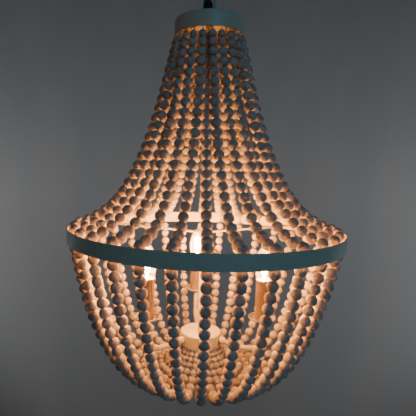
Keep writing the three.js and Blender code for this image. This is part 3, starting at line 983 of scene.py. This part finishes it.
# %% Weld the spokes
SPOKE_ROD = 2.5 * MM
SPOKE_HEADING = 6
SPOKE_SUNK = 2 * MM
COLLAR = 10 * MM
COLLAR_CHAMFER = (1 * MM, 1.5 * MM)
spoke_low, spoke_high = low("spoke_frame"), high("spoke_frame")
spoke_level = (spoke_low + spoke_high) / 2
column_radius = half_depth("column_tube")
chamfer_in, chamfer_up = COLLAR_CHAMFER
spoke_collar = [
    (column_radius + FIT, spoke_low), (COLLAR - chamfer_in, spoke_low), (COLLAR, spoke_low + chamfer_up),
    (COLLAR, spoke_high - chamfer_up), (COLLAR - chamfer_in, spoke_high), (column_radius + FIT, spoke_high),
]
spoke_line = [(COLLAR - SPOKE_SUNK, 0, spoke_level), (ring_inner - FIT, 0, spoke_level)]
spoke_rod = swept(spoke_line, SPOKE_ROD, SPOKE_SIDES)
spoke_rods = [moved(spoke_rod, facing(SPOKE_HEADING + 360 * k / LIGHTS)) for k in range(LIGHTS)]
painted("spokes", together(turned(spoke_collar, FITTING_SIDES, True), *spoke_rods), "spoke_frame")
print("spoke length in mm", round((spoke_line[1][0] - spoke_line[0][0]) / MM, 1))

# %% Draw the column
column_outline = tube(pipe_bore, column_radius, low("column_tube"), high("column_tube"))
painted("column", turned(column_outline, FITTING_SIDES, True), "column_tube")
print("column in mm", round((high("column_tube") - low("column_tube")) / MM))

# %% [markdown]
# ## Hub
#
# The hub is a drum pressed from one sheet, with a round corner between its lid and its wall. The
# plate below closes it and holds the inner ends of the strings, and a domed nut pulls the stack
# together.

# %% Press the hub
HUB_PRESS = 2.5 * MM
HUB_STEPS = 5
HUB_BEVEL = 1 * MM
hub_inner = hub_radius - HUB_WALL
hub_corner = arc((hub_radius - HUB_PRESS, hub_top - HUB_PRESS), HUB_PRESS, 0, QUARTER, HUB_STEPS)
hub_outline = [
    (pipe_bore, hub_top - HUB_WALL), (hub_inner - HUB_BEVEL, hub_top - HUB_WALL),
    (hub_inner, hub_top - HUB_PRESS), (hub_inner, hub_bottom), (hub_radius, hub_bottom),
    *hub_corner, (pipe_bore, hub_top),
]
plate_outline = tube(pipe_bore, hub_radius, plate_bottom, plate_top)
painted("hub", turned(hub_outline, HUB_SIDES, True), "hub_shell", finish=hub_paint)
painted("plate", turned(plate_outline, HUB_SIDES, True), "strand_plate", finish=hub_paint)
print("hub radius in mm", round(hub_radius / MM, 1))

# %% Dome the end nut
NUT_DOME = 4 * MM
DOME_STEPS = 8
nut_low, nut_high, nut_radius = low("end_nut"), high("end_nut"), half_depth("end_nut")
nut_outline = [
    *arc((0, nut_low + NUT_DOME), (nut_radius, NUT_DOME), -QUARTER, 0, DOME_STEPS), (nut_radius, nut_high),
    (pipe_bore, nut_high), (pipe_bore, nut_low + NUT_DOME), (0, nut_low + NUT_DOME),
]
painted("end_knob", turned(nut_outline, COLLAR_SIDES), "end_nut", edge=ROUND_EDGE)
print("nut height in mm", round((nut_high - nut_low) / MM, 1))

# %% [markdown]
# ## Arms
#
# Each arm is a bent rod that leaves the hub through a ferrule, dips, and turns up under its pan.
# Arcs and straight lengths would meet in visible kinks, so its line is one smooth curve with four
# handles, and only the last stretch is straight.

# %% Bend the arms
LIGHT_HEADING = 66
ARM_ROD = 5 * MM
ARM_DROP = 12 * MM
ARM_DIP = 7 * MM
ARM_BEND = 30 * MM
ARM_STEPS = 30
CANDLE_CIRCLE = 124 * MM
FERRULE = 6.75 * MM
FERRULE_LENGTH = 12 * MM
FERRULE_STEPS = [(1, 0), (1, 2), (0, 2.6), (0, 9)]
FERRULE_MOUTH = ARM_ROD + 0.6 * MM
PAN_WALL = 1.2 * MM
pan_under = low("candle_sleeve_1") - FIT - PAN_WALL


def bezier(points, share):
    a, b, c, d = (Vector(p) for p in points)
    rest = 1 - share
    return rest**3 * a + 3 * rest**2 * share * b + 3 * rest * share**2 * c + share**3 * d


def arm_shape():
    level = hub_top - ARM_DROP
    dip = level - ARM_DIP
    root = hub_radius + FIT
    handles = [
        (root + FERRULE_LENGTH / 2, 0, level), (CANDLE_CIRCLE - ARM_BEND, 0, dip), (CANDLE_CIRCLE, 0, dip),
        (CANDLE_CIRCLE, 0, dip + ARM_BEND),
    ]
    path = [bezier(handles, k / ARM_STEPS) for k in range(ARM_STEPS + 1)]
    path.append(Vector((CANDLE_CIRCLE, 0, pan_under)))
    ferrule = [(0, 0), *stepped(FERRULE, 0, FERRULE_STEPS)]
    ferrule += [(FERRULE_MOUTH, FERRULE_LENGTH), (0, FERRULE_LENGTH)]
    lay = Matrix.Translation((root, 0, level)) @ Matrix.Rotation(math.pi / 2, 4, "Y")
    return together(swept(path, ARM_ROD, ROD_SIDES), moved(turned(ferrule, FITTING_SIDES), lay))


print("underside of the pans in mm", round(pan_under / MM, 1))

# %% [markdown]
# ## Sleeves with wax drips
#
# The sleeve stands in its pan over the lampholder and hides it. Wax runs down from its top: a drip
# is a ridge that starts at the rim, narrows, and ends in a drop. Drips could be sculpted or be
# pieces of their own, but then their joint with the sleeve would show. Here each is added to the
# sleeve's radius at every point of a fine grid.

# %% Draw the drips by chance
DRIPS = 6
DRIP_PROUD = 1.3 * MM
DRIP_STRAY = 0.3  # share of the space from one drip to the next
HALF_WIDTHS = (1.1, 1.9)
SHORT_DRIPS, LONG_DRIPS = (0.1, 0.3), (0.4, 0.7)  # shares of the sleeve's height
DRIP_DEPTHS = (0.6, 1.0)
sleeve_low, sleeve_top = low("candle_sleeve_1"), high("candle_sleeve_1")


def drips():
    """(turn, half width, length, thickness) of each drip round one sleeve."""
    return [
        (
            2 * math.pi * (k + chance.uniform(-DRIP_STRAY, DRIP_STRAY)) / DRIPS,
            chance.uniform(*HALF_WIDTHS) * MM,
            chance.uniform(*(SHORT_DRIPS if k % 2 else LONG_DRIPS)) * (sleeve_top - sleeve_low),
            chance.uniform(*DRIP_DEPTHS) * DRIP_PROUD,
        )
        for k in range(DRIPS)
    ]


print("sleeve height in mm", round((sleeve_top - sleeve_low) / MM, 1))

# %% Shape one drip
SLEEVE_RADIUS = 15 * MM
# shares of a drip's length and of its half width
NECK_AT, ROOT_WIDTH, NECK_LOSS, TIP_GAIN = 0.75, 1.25, 0.55, 0.35
TIP_FROM, TIP_LENGTH = 0.85, 0.25
DROP_AT, DROP_LENGTH, DROP_SWELL = 0.88, 0.12, 0.45
RIDGE_SHARE = 0.72
RIM_PROUD, RIM_DEPTH = 0.5 * MM, 2.2 * MM


def wax_reach(turn, depth, runs):
    """How far the wax stands proud at a turn, at a depth below the rim."""
    proud = 0.0
    for middle, half, length, thick in runs:
        across = math.atan2(math.sin(turn - middle), math.cos(turn - middle)) * SLEEVE_RADIUS
        ahead = depth / length
        past_neck = max(0.0, ahead - NECK_AT) / (1 - NECK_AT)
        width = half * (ROOT_WIDTH - NECK_LOSS * min(ahead / NECK_AT, 1) + TIP_GAIN * past_neck)
        ridge = RIDGE_SHARE * math.sqrt(max(0.0, 1 - (across / width) ** 2))
        tip = math.sqrt(max(0.0, 1 - (max(0.0, ahead - TIP_FROM) / TIP_LENGTH) ** 2))
        drop = 1 + DROP_SWELL * math.exp(-(((ahead - DROP_AT) / DROP_LENGTH) ** 2))
        proud = max(proud, thick * ridge * tip * drop)
    return proud + RIM_PROUD * math.exp(-((depth / RIM_DEPTH) ** 2))


print("wax at the rim in mm", round(wax_reach(0, 0, []) / MM, 1))

# %% Run the wax down a sleeve
SLEEVE_SIDES = 96
SLEEVE_ROWS = 72
SLEEVE_CARD = 0.6 * MM
SLEEVE_LIP = 0.9 * MM
RIM_SAG, RIM_WAVES, SAG_DEPTH = 0.8 * MM, 3, 8 * MM


def sleeve_shape():
    runs = drips()
    outer = SLEEVE_RADIUS - DRIP_PROUD
    inner = outer - SLEEVE_CARD
    turns = [2 * math.pi * k / SLEEVE_SIDES for k in range(SLEEVE_SIDES)]
    points = []
    for row in range(SLEEVE_ROWS + 1):
        depth = (sleeve_top - sleeve_low) * (1 - row / SLEEVE_ROWS)
        for turn in turns:
            wave = math.sin(RIM_WAVES * turn + runs[0][0])
            sag = max(0.0, RIM_SAG * wave * max(0.0, 1 - depth / SAG_DEPTH))
            reach = outer + wax_reach(turn, depth, runs)
            points.append((reach * math.cos(turn), reach * math.sin(turn), sleeve_top - depth - sag))
    for height in (sleeve_top - SLEEVE_LIP, sleeve_low):
        points += [(inner * math.cos(turn), inner * math.sin(turn), height) for turn in turns]
    rows = [list(range(i, i + SLEEVE_SIDES)) for i in range(0, len(points), SLEEVE_SIDES)]
    return points, skin([*rows, rows[0]])


print("sleeve grid", SLEEVE_ROWS, "rows of", SLEEVE_SIDES)

# %% [markdown]
# ## Bulbs
#
# A candle bulb is blown to a flame shape, so its outline runs smoothly through a few measured
# radii. A spline through the same points would bulge between them near the tip, so the slopes are
# set at each point. Inside stands the glowing core on its thin stem, and below is the screw cap, a
# stack of rounded threads.

# %% Blow the bulbs
BULB_RADIUS = 17 * MM
BULB_SHARES = [(0.76, 0), (0.87, 0.1), (1, 0.32), (0.95, 0.52), (0.66, 0.75), (0, 1)]  # of radius and height
GLASS_BASE = [(0, 0), (11.7, 0), (12.74, 0.6)]
BULB_STEPS = 36
CAP_RADIUS = 7 * MM
CAP_LENGTH = 24 * MM
foot = low("bulb_1") + CAP_LENGTH


def smooth_share(rise):
    """The glass's radius share at a share of its height: a smooth line through the outline's points."""
    radii, heights = zip(*BULB_SHARES)
    for k in range(len(heights) - 1):
        if rise <= heights[k + 1]:
            break
    span = heights[k + 1] - heights[k]
    t = (rise - heights[k]) / span

    def slope(i):
        before, after = max(i - 1, 0), min(i + 1, len(heights) - 1)
        return (radii[after] - radii[before]) / (heights[after] - heights[before])

    first, second = slope(k) * span, slope(k + 1) * span
    return (
        (2 * t**3 - 3 * t**2 + 1) * radii[k] + (t**3 - 2 * t**2 + t) * first
        + (-2 * t**3 + 3 * t**2) * radii[k + 1] + (t**3 - t**2) * second
    )


def glass_shape():
    outline = stepped(0, foot, GLASS_BASE)
    rises = [k / BULB_STEPS for k in range(BULB_STEPS)]
    outline += [(BULB_RADIUS * smooth_share(rise), glass_foot + glass_height * rise) for rise in rises]
    return turned([*outline, (0, glass_foot + glass_height)], GLASS_SIDES)


print("glass radius over its foot in mm", round(BULB_RADIUS * smooth_share(0) / MM, 1))

# %% Stand the core on its stem
STEM_RADIUS = 1.6 * MM
STEM_FOOT = 0.5 * MM
CORE_RADIUS = 6.5 * MM
CORE_FROM = 9 * MM
CORE_TO = 0.66  # share of the glass's height
CORE_BLUNT = 0.6
CORE_STEPS = 12


def core_shape():
    """The lit filaments as one glow on a thin stem."""
    low_end, high_end = glass_foot + CORE_FROM, glass_foot + CORE_TO * glass_height
    middle, half = (low_end + high_end) / 2, (high_end - low_end) / 2
    outline = [(0, foot + STEM_FOOT), (STEM_RADIUS, foot + STEM_FOOT), (STEM_RADIUS, low_end)]
    turns = [math.pi * k / CORE_STEPS for k in range(1, CORE_STEPS)]
    outline += [(CORE_RADIUS * math.sin(t) ** CORE_BLUNT, middle - half * math.cos(t)) for t in turns]
    return turned([*outline, (0, high_end)], CORD_SIDES)


print("core height in mm", round((CORE_TO * glass_height - CORE_FROM) / MM, 1))

# %% Roll the threads of the cap
CAP_TIP = [(0, 0), (2.2, 0), (2.8, 0.8), (4.8, 3)]
THREADS = 6
THREAD_STEPS = 6
THREAD_PITCH = 2.8 * MM
THREAD_DEPTH = 0.35 * MM
THREADS_FROM = 4 * MM
UNDER_GLASS = 0.1 * MM


def cap_shape():
    """The screw cap: a stack of rounded threads over a tapered end."""
    end = foot - CAP_LENGTH
    outline = stepped(0, end, CAP_TIP)
    for k in range(THREADS * THREAD_STEPS + 1):
        wave = THREAD_DEPTH * (math.cos(2 * math.pi * k / THREAD_STEPS) - 1)
        outline.append((CAP_RADIUS + wave, end + THREADS_FROM + THREAD_PITCH * k / THREAD_STEPS))
    return turned([*outline, (CAP_RADIUS, foot - UNDER_GLASS), (0, foot - UNDER_GLASS)], FITTING_SIDES)


print("thread height in mm", round(THREADS * THREAD_PITCH / MM, 1))

# %% [markdown]
# ## Pans, lampholders and the finished lights
#
# The pan is a shallow dish pressed from sheet with a rolled rim. The lampholder hides in the sleeve
# but shows its mouth when a bulb is lifted out, so it has a true socket. Each light is made once
# along +X, moved out to its circle and turned to its heading.

# %% Press the pans
PAN_RADIUS = 25.5 * MM
PAN_RIM = 6 * MM
PAN_FLAT = 8 * MM
PAN_CURVE = 7.2 * MM
PAN_STEPS = 6
PAN_HOLE = 4 * MM
PAN_ROLL = [(-0.2, -0.7), (0, -0.3), (-0.3, 0)]
PAN_THIN = 0.9  # shares of the wall
PAN_LIP = 0.3
LIP_DROP = 0.05 * MM


def pan_shape():
    """A shallow dish with a rolled rim."""
    rim = pan_under + PAN_RIM
    curve = arc((PAN_RADIUS - PAN_FLAT, rim), (PAN_CURVE, PAN_RIM), -QUARTER, 0, PAN_STEPS)
    inside = []
    for k, (radius, height) in enumerate(curve):
        lifted = height + PAN_WALL * (1 if k < PAN_STEPS - 1 else PAN_LIP)
        inside.insert(0, (radius - PAN_WALL * PAN_THIN, min(lifted, rim - LIP_DROP)))
    roll = stepped(PAN_RADIUS, rim, PAN_ROLL)
    outline = [(PAN_HOLE, pan_under), *curve, *roll, *inside, (PAN_HOLE, pan_under + PAN_WALL)]
    return turned(outline, PAN_SIDES, True)


print("pan", len(pan_shape()[1]), "faces")

# %% Cast the holders
HOLDER_RADIUS = 12.6 * MM
SOCKET_RADIUS = 7.3 * MM
SOCKET_DEPTH = 27 * MM


def holder_shape():
    bottom, top = low("lampholder_1"), high("lampholder_1")
    outline = [
        (0, bottom), (HOLDER_RADIUS, bottom), (HOLDER_RADIUS, top), (SOCKET_RADIUS, top),
        (SOCKET_RADIUS, top - SOCKET_DEPTH), (0, top - SOCKET_DEPTH),
    ]
    return turned(outline, COLLAR_SIDES)


print("room round a cap in mm", round((SOCKET_RADIUS - CAP_RADIUS) / MM, 1))


# %% Set the three lights
def light(number):
    turn = facing(LIGHT_HEADING + 360 * (number - 1) / LIGHTS)
    stand = turn @ Matrix.Translation((CANDLE_CIRCLE, 0, 0))
    painted(f"curved_arm_{number}", moved(arm_shape(), turn), f"arm_{number}")
    painted(f"wax_pan_{number}", moved(pan_shape(), stand), edge=0)
    holder, sleeve = moved(holder_shape(), stand), moved(sleeve_shape(), stand)
    name, node = f"holder_{number}", f"lampholder_{number}"
    piece(name, holder, porcelain, "fixture", "porcelain", node, edge=ROUND_EDGE)
    piece(f"wax_sleeve_{number}", sleeve, wax, "fixture", "wax_sleeve", f"candle_sleeve_{number}")
    glass, core, cap = (moved(shape, stand) for shape in (glass_shape(), core_shape(), cap_shape()))
    body = f"bulb_body_{number}"
    piece(f"bulb_glass_{number}", glass, clear_glass, body, "bulb_glass", f"bulb_{number}")
    piece(f"bulb_core_{number}", core, glowing, body, "bulb_glass")
    piece(f"bulb_cap_{number}", cap, brass, body, "bare_steel")


for number in range(1, LIGHTS + 1):
    light(number)
print("lights", LIGHTS)

# %% [markdown]
# ## Ceiling rose and hook
#
# Both are just above the photograph. The rose is turned from wood and painted, with a rounded lower
# edge and a groove near its top, and it has a seat for the hook. The hook is a bent rod, swept
# along three quarters of a circle and a straight shank.

# %% Turn the rose
ROSE_RADIUS = half_width("ceiling_rose")
ROSE_EDGE = 8 * MM
ROSE_STEPS = 8
ROSE_GROOVE = [(0, -5), (-1, -4.4), (-1, -3.4), (0, -2.8), (0, 0)]
HOOK_ROD = 3 * MM
HOOK_SEAT = 12 * MM
rose_low, rose_high = low("ceiling_rose"), high("ceiling_rose")
rose_corner = arc((ROSE_RADIUS - ROSE_EDGE, rose_low + ROSE_EDGE), ROSE_EDGE, -QUARTER, 0, ROSE_STEPS)
rose_seat = [(0, rose_low + HOOK_SEAT), (HOOK_ROD + FIT, rose_low + HOOK_SEAT), (HOOK_ROD + FIT, rose_low)]
rose_side = stepped(ROSE_RADIUS, rose_high, ROSE_GROOVE)
rose_outline = [*rose_seat, *rose_corner, *rose_side, (0, rose_high)]
rose_shape = turned(rose_outline, ROSE_SIDES)
piece("rose", rose_shape, plain_paint, "ceiling", "rose_wood", "ceiling_rose", edge=ROUND_EDGE)
print("rose radius in mm", round(ROSE_RADIUS / MM, 1))

# %% Bend the hook
HOOK_BEND = 12 * MM
HOOK_STEPS = 30
SHANK = 3 * MM
hook_centre = low("ceiling_hook") + HOOK_ROD + HOOK_BEND
shank = [rose_low + HOOK_SEAT - FIT, rose_low, hook_centre + HOOK_BEND + SHANK]
curl = arc((0, hook_centre), HOOK_BEND, 5 * QUARTER, 2 * QUARTER, HOOK_STEPS)
hook_path = [(0, 0, z) for z in shank] + [(0, y, z) for y, z in curl]
hook_shape = swept(hook_path, HOOK_ROD, ROD_SIDES)
piece("hook", hook_shape, steel, "ceiling", "bare_steel", "ceiling_hook", edge=SOFT_EDGE)
print("hook centre in mm", round(hook_centre / MM, 1))

# %% [markdown]
# ## Solids that stay as they are
#
# The nut under the crown, the pipe and the terminal block are out of sight. Their solids are good
# enough, and only get a finish.

# %% Finish the solids that stay
kept_solids = {"crown_nut": steel, "lamp_pipe": steel, "terminal_block": porcelain}
for node, finish in kept_solids.items():
    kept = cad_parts[node]
    kept.data.materials.clear()
    kept.data.materials.append(finish)
print("kept solids", len(kept_solids))

# %% [markdown]
# ## Studio
#
# The light hangs in a plain pale bowl of a room, whose floor curves up into its wall so that no
# line crosses behind the beads. A flat plane would end in a hard horizon. Dim, cool, soft light
# comes from the front and above, two low lamps brighten the wall behind, and the bulbs do the rest.

# %% Build the bowl
FLOOR_DROP = 2.3
BOWL_RADIUS = 4.0
BOWL_CURVE = 1.6
BOWL_STEPS = 24
BOWL_TOP = 3.5
PALE = (0.52, 0.49, 0.46, 1)
bowl_corner = arc((BOWL_RADIUS - BOWL_CURVE, BOWL_CURVE - FLOOR_DROP), BOWL_CURVE, -QUARTER, 0, BOWL_STEPS)
floor_points, floor_faces = turned([(0, -FLOOR_DROP), *bowl_corner, (BOWL_RADIUS, BOWL_TOP)], ROSE_SIDES)
floor_mesh = bpy.data.meshes.new("floor")
floor_mesh.from_pydata(floor_points, [], floor_faces)
floor_mesh.materials.append(Finish("pale floor", roughness=0.9, Base_Color=PALE).material)
floor_mesh.shade_smooth()
floor = bpy.data.objects.new("floor", floor_mesh)
bpy.context.collection.objects.link(floor)
print("floor in m", -FLOOR_DROP)


# %% Hang the soft lights
def soft_light(name, place, target, width, power, colour):
    lamp = bpy.data.lights.new(name, "AREA")
    lamp.shape, lamp.size, lamp.energy, lamp.color = "DISK", width, power, colour
    made = bpy.data.objects.new(name, lamp)
    bpy.context.collection.objects.link(made)
    made.location = place
    made.rotation_euler = (Vector(target) - Vector(place)).to_track_quat("-Z", "Y").to_euler()


middle = (cad_box[0] + cad_box[1]) / 2
soft_light("front softbox", (1.2, -3.0, 0.5), middle, width=1.4, power=17, colour=(0.17, 0.60, 1.0))
soft_light("top softbox", (0.3, 0.6, 2.6), middle, width=2.4, power=2.5, colour=(0.7, 0.9, 1.0))
for side in (-1, 1):
    place, target = (2.3 * side, 1.6, -1.2), (0.4 * side, 4.0, 0.9)
    soft_light(f"wall light {side}", place, target, width=0.8, power=12, colour=(0.85, 0.93, 1.0))
print("soft lights", len(bpy.data.lights))

# %% Fill the room with a trace of light
ROOM_LIGHT = (0.6, 0.86, 1.0, 1)
ROOM_STRENGTH = 0.01
world = bpy.data.worlds.new("room")
world.use_nodes = True
background = world.node_tree.nodes["Background"]
background.inputs["Color"].default_value = ROOM_LIGHT
background.inputs["Strength"].default_value = ROOM_STRENGTH
bpy.context.scene.world = world
print("room light", ROOM_STRENGTH)
